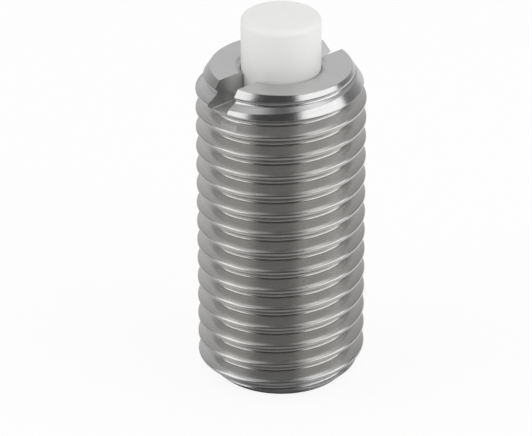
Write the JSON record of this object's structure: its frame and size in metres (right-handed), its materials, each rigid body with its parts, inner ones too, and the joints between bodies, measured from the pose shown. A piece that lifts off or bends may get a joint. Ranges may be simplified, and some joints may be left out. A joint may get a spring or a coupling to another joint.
{
  "type": "spring plunger",
  "caption": "Threaded spring plunger: a fully threaded steel sleeve with a driver slot at the front, a sprung round-nosed plastic pin, and a plug with a hexagon socket at the rear.",
  "frame": {"origin": "middle of the sleeve's rear rim, on the axis", "axes": "+Z along the axis from the rear end to the pin's nose; the driver slot runs 42 degrees from +X towards +Y"},
  "size_m": [0.016, 0.016, 0.037],
  "materials": {
    "sleeve_steel": "turned and thread-rolled stainless steel, bright",
    "pin_plastic": "turned white acetal, satin",
    "plug_steel": "turned stainless steel",
    "spring_steel": "drawn spring wire"
  },
  "bodies": {
    "sleeve": {"body": "sleeve_steel", "end_plug": "plug_steel", "spring": "spring_steel"},
    "pin": {"pin": "pin_plastic"}
  },
  "joints": [
    {"name": "pin_slide", "type": "slide", "parent": "sleeve", "child": "pin", "axis": [0, 0, -1], "range_m": [0, 0.005], "stiffness_N_per_m": 5200, "deforming": ["spring"]}
  ]
}
